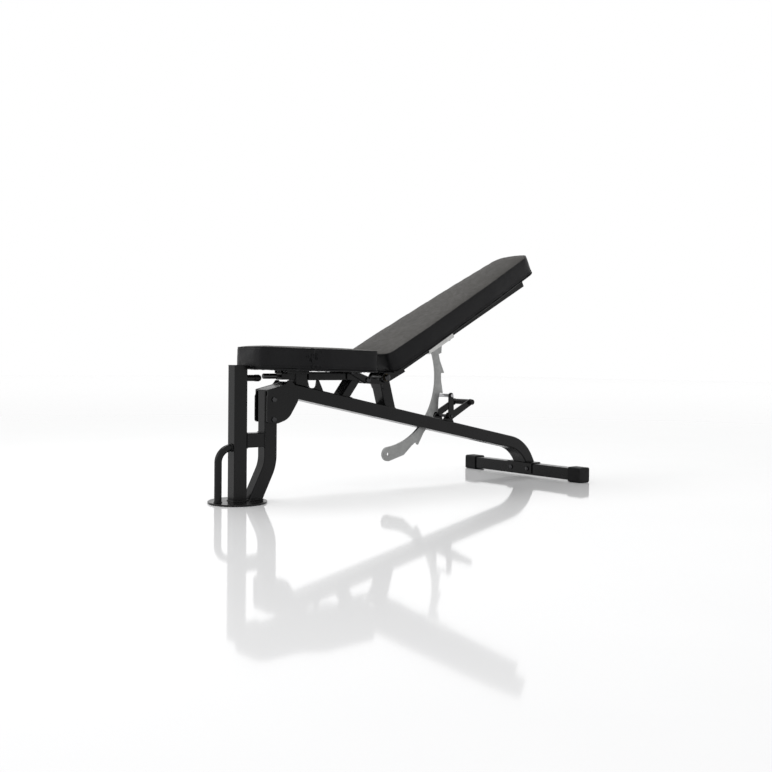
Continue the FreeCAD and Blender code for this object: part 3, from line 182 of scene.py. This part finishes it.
def vinyl(name, colour, rough, specular, grain=1.0):
    """Grained upholstery vinyl: pebbles with creases between, darkened by painted shade, and soft large colour
    drift.
    """
    shade = Shade(name, specular=specular)
    drift = shade.noise(7, 4, 0.6)
    pebble = shade.cells(430, 1.1)
    crease = shade.cells(260, 0.9, "DISTANCE_TO_EDGE")
    base = shade.blend(shade.remap(drift, 0.3, 0.7, 0, 1), scaled(colour, 0.86),
                       scaled(colour, 1.16))
    # Colour darkened along the crease walls between pebbles: painted shade.
    shade.colour(shade.blend(shade.remap(crease, 0.0, 0.12, 0.55, 0), base,
                             scaled(colour, 0.45)))
    shade.roughness(shade.remap(shade.noise(60, 4), 0.3, 0.7, rough - 0.05, rough + 0.1))
    shade.bump(shade.remap(crease, 0.0, 0.16, 0, 1), 0.00022 * grain, 0.8)
    shade.bump(pebble, 0.00016 * grain, 0.6).bump(shade.noise(1500, 2), 0.00004, 0.6)
    return shade.material


def moulded(name, colour, rough, texture=650, edge=0.0008):
    """Moulded plastic or rubber with a spark-eroded texture."""
    shade = Shade(name, specular=0.15).soft_edges(edge)
    drift = shade.noise(16, 4)
    shade.colour(shade.blend(shade.remap(drift, 0.35, 0.7, 0, 1), scaled(colour, 0.85),
                             scaled(colour, 1.3)))
    shade.roughness(shade.remap(shade.noise(70, 4), 0.3, 0.7, rough - 0.06, rough + 0.08))
    shade.bump(shade.noise(texture, 3), 0.0001, 0.7)
    return shade.material


def cambric(name):
    """Black woven cloth that covers the board under each pad."""
    shade = Shade(name, specular=0.2)
    threads = []
    for axis in (0, 1):
        wave = shade.node("TexWave", Vector=shade.place, Scale=330.0, Distortion=0.6)
        wave.bands_direction = "XY"[axis]
        threads.append(wave.outputs["Fac"])
    weave = shade.node("Math")
    weave.operation = "MULTIPLY"
    shade.links.new(threads[0], weave.inputs[0])
    shade.links.new(threads[1], weave.inputs[1])
    shade.colour(shade.blend(weave.outputs[0], (0.008, 0.008, 0.008), (0.03, 0.029, 0.028)))
    shade.roughness(shade.remap(shade.noise(40, 3), 0.3, 0.7, 0.7, 0.9))
    shade.bump(weave.outputs[0], 0.0002, 0.8)
    return shade.material


black = powder_coat("black_powder_coat", (0.0036, 0.0036, 0.0038), 0.22)
fastener = metal("black_oxide", (0.045, 0.045, 0.047), 0.2, edge=0.0005)
zinc = metal("zinc_plate", (0.31, 0.314, 0.31), 0.42, grain=(0.15, 1, 0.15), grain_scale=900)
# A lighter, glossier copy of the arm's zinc for the arm's foot: painted light on the arm's lower end.
lit_foot_zinc = metal("zinc_painted_lit_copy", (0.5, 0.5, 0.49), 0.34, grain=(0.15, 1, 0.15))
bright = metal("polished_steel", (0.42, 0.42, 0.43), 0.16, grain=(1, 0.05, 1))
satin_steel = metal("satin_steel", (0.075, 0.075, 0.076), 0.35, grain=(0.06, 1, 1))
spring_steel = metal("spring_steel", (0.15, 0.15, 0.15), 0.3, scuffs=0.1)
bronze = metal("bronze", (0.1, 0.08, 0.052), 0.36)
# The top vinyl is a lighter copy of the side vinyl: painted light on the pad tops and painted shade on the side
# bands; the sides are also a smoother vinyl.
cover = vinyl("pad_vinyl_painted_lit_top", (0.038, 0.0355, 0.032), 0.5, 0.14)
shaded_side_vinyl = vinyl("pad_side_vinyl_painted_shade", (0.0045, 0.0045, 0.0052), 0.36, 0.15, grain=0.6)
thread = moulded("seam_thread", (0.01, 0.01, 0.01), 0.6, texture=2400, edge=0.0003)
rubber = moulded("shoe_rubber", (0.0045, 0.0045, 0.0047), 0.52, texture=420)
plastic = moulded("black_plastic", (0.0045, 0.0045, 0.0048), 0.3)
grip = moulded("grip_rubber", (0.005, 0.005, 0.005), 0.42, texture=900)
backing = cambric("pad_backing")

SLOT_MATERIALS = {
    "black_frame": black, "black_fastener": fastener, "zinc_arm": zinc,
    "bright_steel": bright, "spring_steel": spring_steel, "pad_cover": cover,
    "pad_board": backing, "shoe_rubber": rubber, "black_plastic": plastic,
    "bronze_bush": bronze,
}
NODE_MATERIALS = {"seat_pin": satin_steel, "handle_bar": grip, "arm_foot": lit_foot_zinc}
slot_of = {entry["node"]: entry["material_slot"] for entry in frame["record"]["subparts"]}
for name, obj in frame["nodes"].items():
    chosen = NODE_MATERIALS.get(name, SLOT_MATERIALS[slot_of[name]])
    for material_slot in obj.material_slots:
        material_slot.material = chosen


# ---------------------------------------------------------------- mesh helpers

def new_object(name, bm, materials):
    mesh = bpy.data.meshes.new(name)
    bm.to_mesh(mesh)
    bm.free()
    for item in materials:
        mesh.materials.append(item)
    for polygon in mesh.polygons:
        polygon.use_smooth = True
    obj = bpy.data.objects.new(name, mesh)
    scene.collection.objects.link(obj)
    return obj


def tube(bm, points, radius, sides, closed=False, index=0, lump=0.0):
    """Round tube along points; its radius may ripple, as a weld bead's does."""
    count = len(points)
    rings = []
    normal = None
    for i, point in enumerate(points):
        before = points[i - 1] if closed or i else point
        after = points[(i + 1) % count] if closed or i < count - 1 else point
        heading = (after - before).normalized()
        if normal is None:
            guide = Vector((0, 0, 1)) if abs(heading.z) < 0.9 else Vector((1, 0, 0))
            normal = heading.cross(guide).normalized()
        normal = (normal - heading * normal.dot(heading)).normalized()
        other = heading.cross(normal)
        size = radius * (1 + lump * math.sin(i * 2.1) + lump * noise.noise(point * 400))
        ring = [bm.verts.new(point + (normal * math.cos(a) + other * math.sin(a)) * size)
                for a in (2 * math.pi * k / sides for k in range(sides))]
        rings.append(ring)
    for i in range(count if closed else count - 1):
        first, second = rings[i], rings[(i + 1) % count]
        shift = 0
        if closed and i == count - 1:
            shift = min(range(sides), key=lambda s: (first[0].co - second[s].co).length)
        for k in range(sides):
            face = bm.faces.new((first[k], first[(k + 1) % sides],
                                 second[(k + 1 + shift) % sides], second[(k + shift) % sides]))
            face.material_index = index
    if not closed:
        for ring, flip in ((rings[0], True), (rings[-1], False)):
            face = bm.faces.new(ring[::-1] if flip else ring)
            face.material_index = index


def resampled(points, step, closed=True):
    """Points at equal steps along a polyline."""
    loop = points + points[:1] if closed else points
    lengths = [0.0]
    for a, b in zip(loop, loop[1:]):
        lengths.append(lengths[-1] + (b - a).length)
    count = max(3, round(lengths[-1] / step))
    result, k = [], 0
    for i in range(count if closed else count + 1):
        target = lengths[-1] * i / count
        while k < len(loop) - 2 and lengths[k + 1] < target:
            k += 1
        share = (target - lengths[k]) / max(1e-9, lengths[k + 1] - lengths[k])
        result.append(loop[k].lerp(loop[k + 1], share))
    return result


def rounded(corners, steps=14):
    """Closed outline of (x, y, radius) corners as points."""
    points = []
    count = len(corners)
    for i, (x, y, radius) in enumerate(corners):
        here = Vector((x, y, 0))
        to_before = (Vector((*corners[i - 1][:2], 0)) - here).normalized()
        to_after = (Vector((*corners[(i + 1) % count][:2], 0)) - here).normalized()
        if radius == 0:
            points.append(here)
            continue
        half = to_before.angle(to_after) / 2
        centre = here + (to_before + to_after).normalized() * (radius / math.sin(half))
        start = (here + to_before * (radius / math.tan(half)) - centre).normalized()
        end = (here + to_after * (radius / math.tan(half)) - centre).normalized()
        for k in range(steps + 1):
            points.append(centre + start.slerp(end, k / steps, start) * radius)
    return points


def inset(points, distance):
    """Closed outline moved inwards; the outline runs counter-clockwise."""
    moved = []
    for i, point in enumerate(points):
        heading = (points[(i + 1) % len(points)] - points[i - 1]).normalized()
        moved.append(point + Vector((-heading.y, heading.x, 0)) * distance)
    return moved


def at_height(points, height):
    return [Vector((p.x, p.y, height)) for p in points]


# ---------------------------------------------------------------- pads

# Cloth simulation
VOXEL = 0.0055
SWELL_CAP = 0.009
CLOTH_FRAMES = 20

# Pad build, in metres
BLANK_SHRINK, BLANK_CORNER, BLANK_DROP = 0.0015, 0.007, 0.001
SEAM_DROP = 0.0035
STITCH_DROP = 0.0115
STITCH_LENGTH, STITCH_GAP, STITCH_RADIUS = 0.0034, 0.0022, 0.00045
LIT_TOP, SHADED_SIDE, THREAD = 0, 1, 2


def pad_blank(plan, height):
    """Closed blank: flat base, upright sides, small rounded top edge and a flat top."""
    bm = bmesh.new()
    levels = [(BLANK_SHRINK, height * k / 8) for k in range(8)]
    for k in range(7):
        turn = math.pi / 2 * k / 6
        levels.append((BLANK_SHRINK + BLANK_CORNER * (1 - math.cos(turn)),
                       height - BLANK_CORNER * (1 - math.sin(turn))))
    rings = []
    for distance, level in levels:
        rings.append([bm.verts.new(p) for p in at_height(inset(plan, distance), level)])
    count = len(plan)
    for first, second in zip(rings, rings[1:]):
        for i in range(count):
            bm.faces.new((first[i], first[(i + 1) % count],
                          second[(i + 1) % count], second[i]))
    bm.faces.new(rings[0][::-1])
    bm.faces.new(rings[-1])
    bmesh.ops.triangulate(bm, faces=[f for f in bm.faces if len(f.verts) > 4])
    return bm


def applied(obj):
    """Bake an object's modifiers into its mesh."""
    graph = bpy.context.evaluated_depsgraph_get()
    mesh = bpy.data.meshes.new_from_object(obj.evaluated_get(graph))
    obj.modifiers.clear()
    old = obj.data
    obj.data = mesh
    bpy.data.meshes.remove(old)


def inflate(obj, held):
    """Cloth under pressure between its sewn edges; held(co) gives each point's pin weight."""
    remesh = obj.modifiers.new("Remesh", "REMESH")
    remesh.mode = "VOXEL"
    remesh.voxel_size = VOXEL
    applied(obj)
    start = [v.co.copy() for v in obj.data.vertices]
    pins = obj.vertex_groups.new(name="sewn")
    for i, co in enumerate(start):
        weight = held(co)
        if weight > 0:
            pins.add([i], weight, "REPLACE")
    cloth = obj.modifiers.new("Cloth", "CLOTH")
    cloth.settings.quality = 4
    cloth.settings.mass = 0.3
    cloth.settings.tension_stiffness = 22
    cloth.settings.compression_stiffness = 22
    cloth.settings.shear_stiffness = 12
    cloth.settings.bending_stiffness = 1.2
    cloth.settings.use_pressure = True
    cloth.settings.uniform_pressure_force = 4.0
    cloth.settings.vertex_group_mass = "sewn"
    cloth.settings.effector_weights.gravity = 0.0
    cloth.collision_settings.use_collision = False
    for number in range(1, CLOTH_FRAMES + 1):
        scene.frame_set(number)
    applied(obj)
    scene.frame_set(1)
    for vertex, origin in zip(obj.data.vertices, start):
        move = vertex.co - origin
        if move.length > SWELL_CAP:
            vertex.co = origin + move.normalized() * SWELL_CAP
    obj.vertex_groups.clear()


class Outline:
    """A closed outline that tells how deep inside it a point is."""

    def __init__(self, points):
        self.tree = KDTree(len(points))
        for i, p in enumerate(points):
            self.tree.insert(p, i)
        self.tree.balance()
        self.inward = []
        for i in range(len(points)):
            heading = (points[(i + 1) % len(points)] - points[i - 1]).normalized()
            self.inward.append(Vector((-heading.y, heading.x, 0)))

    def depth(self, co):
        """Distance from the outline, positive inside, and the nearest outline point's number."""
        flat = Vector((co.x, co.y, 0))
        near, i, _ = self.tree.find(flat)
        return (flat - near).dot(self.inward[i]), i


def stitches(bm, path):
    """A row of thread stitches that dip at both ends."""
    points = resampled(path, (STITCH_LENGTH + STITCH_GAP) / 4)
    lifts = [Vector((0, 0, 0.4)) * lift for lift in (-0.0004, 0.0003, 0.0003, -0.0004)]
    for i in range(0, len(points) - 3, 4):
        run = [point + lift for point, lift in zip(points[i:i + 4], lifts)]
        tube(bm, run, STITCH_RADIUS, 6, index=THREAD)


def pucker(pad, edge, puckers):
    """Gathers the side band where the cover is pulled round a hollow curve."""
    for vertex in pad.data.vertices:
        co = vertex.co
        depth, i = edge.depth(co)
        for (x, y), reach, height in puckers:
            away = abs(co.x - x) / reach
            if away < 1 and abs(abs(co.y) - y) < reach and depth < 0.012 and co.z > 0.006:
                strength = (1 - away ** 2) ** 2
                bend = 0.5 * noise.noise(Vector((co.x * 40, co.z * 60, 4.0)))
                fade = 0.5 + 0.5 * math.cos(co.z * 130 + 9 * bend)
                gather = math.sin(co.x * 480 + 6 * bend) * fade
                lump = noise.noise(Vector((co.x * 130, co.y * 130, co.z * 90)))
                co += edge.inward[i] * (-height * strength * (0.6 * gather + 0.8 * lump))


def make_pad(name, plan, thick, puckers, place, body, node):
    """Boxed vinyl pad: crowned top panel, sewn top edge, side band, hem folded underneath."""
    plan = resampled(plan, 0.004)
    edge = Outline(plan)
    top = thick - BLANK_DROP
    blank = new_object(name, pad_blank(plan, top), [cover, shaded_side_vinyl])

    def held(co):
        """Pin weight: 1 on the base, and nearly 1 along the sewn top edge."""
        depth, _ = edge.depth(co)
        seam = math.hypot(depth - 0.004, co.z - (thick - 0.004))
        if co.z < 0.006:
            return 1.0
        return max(0.0, 1.0 - seam / 0.009) * 0.9

    inflate(blank, held)
    for vertex in blank.data.vertices:
        co = vertex.co
        depth, i = edge.depth(co)
        inside = max(0.0, depth)
        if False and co.z > 0.5 * thick:
            co.z += 0.006 * (1 - math.exp(-inside / 0.05))
        if co.z > top - 0.02:
            wave = noise.noise(Vector((co.x * 9, co.y * 9, 3.1)))
            fine = noise.noise(Vector((co.x * 34, co.y * 34, 8.7)))
            co.z += (0.0011 * wave + 0.0003 * fine) * min(1.0, inside / 0.03)
            pull = math.exp(-((depth - 0.010) / 0.006) ** 2)
            co.z -= 0.0012 * pull
        elif co.z > 0.004:
            wave = noise.noise(Vector((co.x * 14, co.y * 14, co.z * 18)))
            co += edge.inward[i] * (-0.0009 * wave)
        if co.z < 0.003 and depth > 0.010:
            co.z = 0.0045
    smooth = blank.modifiers.new("Smooth", "SMOOTH")
    smooth.factor, smooth.iterations = 0.35, 2
    subdivision = blank.modifiers.new("Subdivision", "SUBSURF")
    subdivision.levels = subdivision.render_levels = 1
    applied(blank)
    pucker(blank, edge, puckers)
    for polygon in blank.data.polygons:
        polygon.use_smooth = True
        depth, _ = edge.depth(polygon.center)
        # Faces on top take the lighter vinyl copy, painted light; all other faces take the darker copy, painted
        # shade.
        on_top = polygon.center.z > thick - 0.008 and polygon.normal.z > 0.6
        polygon.material_index = LIT_TOP if on_top else SHADED_SIDE

    surface = BVHTree.FromPolygons([v.co for v in blank.data.vertices],
                                   [p.vertices for p in blank.data.polygons])

    def on_cover(points, lift):
        """Points moved to the cover's surface, then raised above it."""
        result = []
        for point in points:
            near, normal, _, _ = surface.find_nearest(point)
            result.append(near + normal * lift)
        return result

    bm = bmesh.new()
    welt = on_cover(at_height(inset(plan, 0.0015), thick - SEAM_DROP), 0.0004)
    tube(bm, resampled(welt, 0.004), 0.0017, 8, closed=True, index=SHADED_SIDE)
    low = on_cover(at_height(inset(plan, -0.004), 0.0125), 0.0002)
    tube(bm, resampled(low, 0.004), 0.0012, 8, closed=True, index=SHADED_SIDE)
    stitches(bm, on_cover(at_height(inset(plan, -0.006), thick - STITCH_DROP), 0.0))

    # The cover is folded under the board and stapled, so its hem shows from below.
    hem_rings = []
    for distance, level in ((-0.0002, 0.004), (0.0008, 0.0), (0.006, -0.0013),
                            (0.022, -0.0012), (0.0225, 0.0003)):
        ring = []
        for i, point in enumerate(at_height(inset(plan, distance), level)):
            crimp = noise.noise(Vector((i * 0.35, distance * 300, 2.0)))
            ring.append(bm.verts.new(point + Vector((0, 0, -0.0006 * abs(crimp)))
                                     * (1 if 0.003 < distance < 0.0224 else 0)))
        hem_rings.append(ring)
    for first, second in zip(hem_rings, hem_rings[1:]):
        for i in range(len(plan)):
            j = (i + 1) % len(plan)
            bm.faces.new((first[j], first[i], second[i], second[j])).material_index = SHADED_SIDE
    trim = new_object(name + "_seams", bm, [cover, shaded_side_vinyl, thread])

    bm = bmesh.new()
    for i in range(0, len(plan), 9):
        heading = (plan[(i + 1) % len(plan)] - plan[i - 1]).normalized()
        centre = at_height([plan[i] + edge.inward[i] * 0.014], -0.0019)[0]
        leg = heading * 0.005
        down = Vector((0, 0, 0.0012))
        tube(bm, [centre - leg + down, centre - leg, centre + leg, centre + leg + down],
             0.0005, 6)
    staples = new_object(name + "_staples", bm, [satin_steel])

    for piece in (blank, trim, staples):
        piece.data.transform(place)
        piece.data.update()
        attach(piece, body)
    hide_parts(node)


# The seat is drawn level, then rises a little towards its nose about its pivot.
SEAT_RISE = math.radians(1.0)
SEAT_BOTTOM, SEAT_THICK = 0.450, 0.080
SEAT_FRONT, SEAT_REAR = -0.6545, -0.184
NOSE, WIDE = 0.097, 0.149
half_plan = [(SEAT_FRONT, -NOSE, 0.046), (SEAT_FRONT + 0.17, -NOSE - 0.004, 0.09),
             (SEAT_FRONT + 0.238, -WIDE, 0.07), (SEAT_REAR, -WIDE, 0.018)]
seat_plan = rounded(half_plan + [(x, -y, r) for x, y, r in half_plan[::-1]])
hollow_curve = ((SEAT_FRONT + 0.2, 0.115), 0.042, 0.0055)
rise = (Matrix.Translation(SEAT_PIVOT) @ Matrix.Rotation(SEAT_RISE, 4, "Y")
        @ Matrix.Translation(-SEAT_PIVOT) @ Matrix.Translation((0, 0, SEAT_BOTTOM)))
make_pad("seat_cushion", seat_plan, SEAT_THICK, [hollow_curve], rise, "seat", "seat_pad")

BACK_ANGLE = math.radians(28.5)
BACK_BOTTOM, BACK_THICK = 0.030, 0.082
BACK_START, BACK_END = -0.017, 0.906
half_plan = [(BACK_START, -0.139, 0.03), (BACK_START + 0.19, -0.142, 0.5),
             (BACK_START + 0.62, -0.121, 0.9), (BACK_END - 0.005, -0.094, 0.056),
             (BACK_END, 0, 0.1)]
back_plan = rounded(half_plan + [(x, -y, r) for x, y, r in half_plan[-2::-1]])
lean = (Matrix.Translation(AXLE) @ Matrix.Rotation(-BACK_ANGLE, 4, "Y")
        @ Matrix.Translation((0, 0, BACK_BOTTOM)))
make_pad("back_cushion", back_plan, BACK_THICK, [], lean, "backrest", "back_pad")


# ---------------------------------------------------------------- welds

TUBE_RING = 0.0255
BEAD, PIPE_BEAD, PIPE_BEND_BEAD, FOOT_BEAD = 0.0024, 0.0024, 0.0023, 0.0026
PIPE_X, PIPE_RADIUS = -0.7585, 0.0127
BEAM_HEIGHT, BEAM_SLOPE = 0.309, -0.20527


def tube_ring(centre, half_x, half_y, height, corner=0.005):
    """Loop round a rectangular tube that stands on a level face."""
    corners = [(centre[0] - half_x, centre[1] - half_y, corner),
               (centre[0] + half_x, centre[1] - half_y, corner),
               (centre[0] + half_x, centre[1] + half_y, corner),
               (centre[0] - half_x, centre[1] + half_y, corner)]
    return at_height(rounded(corners, 5), height)


def ring_on_beam(left, right, half_y):
    """Loop on the main beam's sloped top face."""
    flat = tube_ring(((left + right) / 2, 0), (right - left) / 2, half_y, 0, 0.004)
    return [Vector((p.x, p.y, BEAM_HEIGHT + BEAM_SLOPE * p.x)) for p in flat]


def circle(radius, steps=40):
    """Points round a circle, as pairs."""
    turns = (2 * math.pi * k / steps for k in range(steps))
    return [(radius * math.cos(turn), radius * math.sin(turn)) for turn in turns]


def make_welds():
    """Beads where the frame's tubes meet each other, the plate and the beam."""
    post_low, post_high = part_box("front_post")
    pipe_low, pipe_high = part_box("front_pipe")
    upright_low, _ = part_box("rear_tube")
    tie_low, tie_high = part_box("tie_tube")
    sleeve_low, sleeve_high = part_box("seat_sleeve")

    post_x = (post_low[0] + post_high[0]) / 2
    beads = [(tube_ring((post_x, 0), TUBE_RING, TUBE_RING, post_low[2] + 0.001), FOOT_BEAD)]
    foot = [Vector((PIPE_X + a, b, pipe_low[2] + 0.001)) for a, b in circle(PIPE_RADIUS)]
    beads.append((foot, PIPE_BEAD))
    bend_z = pipe_high[2] - PIPE_RADIUS
    bend = [Vector((post_low[0] - 0.0008, a, bend_z + b)) for a, b in circle(PIPE_RADIUS + 0.0003)]
    beads.append((bend, PIPE_BEND_BEAD))
    foot = (upright_low[0] + 0.0278, 0)
    beads.append((tube_ring(foot, 0.0283, TUBE_RING, 0.007), FOOT_BEAD))
    tie_z = (tie_low[2] + tie_high[2]) / 2
    for x in (tie_low[0] + 0.0008, tie_high[0] - 0.0008):
        flat = tube_ring((0, 0), TUBE_RING, TUBE_RING, 0)
        beads.append(([Vector((x, p.x, tie_z + p.y)) for p in flat], BEAD))
    beads.append((ring_on_beam(sleeve_low[0], sleeve_high[0], TUBE_RING), BEAD))
    beads.append((ring_on_beam(-0.2705, -0.2165, 0.0303), BEAD))
    beads.append((ring_on_beam(-0.0568, -0.0068, 0.0303), BEAD))

    bm = bmesh.new()
    for path, radius in beads:
        tube(bm, resampled(path, 0.0022), radius, 8, closed=True, lump=0.13)
    welds = new_object("frame_welds", bm, [black])
    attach(welds, "frame")


make_welds()


# ---------------------------------------------------------------- stage, light, camera

def soft_light(name, location, target, size, power):
    data = bpy.data.lights.new(name, "AREA")
    data.shape = "RECTANGLE"
    data.size, data.size_y = size
    data.energy = power
    lamp = bpy.data.objects.new(name, data)
    lamp.location = location
    aim = Vector(target) - Vector(location)
    lamp.rotation_euler = aim.to_track_quat("-Z", "Y").to_euler()
    scene.collection.objects.link(lamp)


def make_stage():
    bm = bmesh.new()
    bmesh.ops.create_grid(bm, x_segments=8, y_segments=8, size=30)
    shade = Shade("studio_floor", specular=0.55)
    tint = shade.noise(1.5, 2)
    shade.colour(shade.blend(shade.remap(tint, 0.3, 0.7, 0, 1), (0.83, 0.83, 0.835),
                             (0.845, 0.845, 0.848)))
    shade.shader.inputs["Roughness"].default_value = 0.06
    floor = new_object("floor", bm, [shade.material])
    floor.location.z = -0.0005

    world = bpy.data.worlds.new("studio")
    world.use_nodes = True
    world.node_tree.nodes["Background"].inputs["Color"].default_value = (1, 1, 1, 1)
    world.node_tree.nodes["Background"].inputs["Strength"].default_value = 1.0
    scene.world = world
    scene.view_settings.view_transform = "Standard"
    soft_light("top_softbox", (-0.5, 1.1, 2.9), (-0.1, 0, 0.4), (2.2, 0.7), 34)
    soft_light("left_softbox", (-3.2, 0.5, 1.7), (-0.3, 0, 0.4), (0.5, 1.6), 16)


CAMERA_PLACE = (-2.2705, -2.7686, 0.4776)
CAMERA_YAW, CAMERA_PITCH, CAMERA_ROLL = 38.95, -1.31, 0.61


def make_camera():
    yaw, pitch, roll = (math.radians(a) for a in (CAMERA_YAW, CAMERA_PITCH, CAMERA_ROLL))
    forward = Vector((math.sin(yaw) * math.cos(pitch), math.cos(yaw) * math.cos(pitch),
                      math.sin(pitch)))
    level = Vector((math.cos(yaw), -math.sin(yaw), 0))
    upright = level.cross(forward)
    right = level * math.cos(roll) + upright * math.sin(roll)
    up = upright * math.cos(roll) - level * math.sin(roll)
    data = bpy.data.cameras.new("camera")
    data.lens, data.sensor_width = 42.93, 36
    data.clip_end = 200
    camera = bpy.data.objects.new("camera", data)
    turn = Matrix((right, up, -forward)).transposed().to_4x4()
    camera.matrix_world = Matrix.Translation(CAMERA_PLACE) @ turn
    scene.collection.objects.link(camera)
    scene.camera = camera


make_stage()
make_camera()
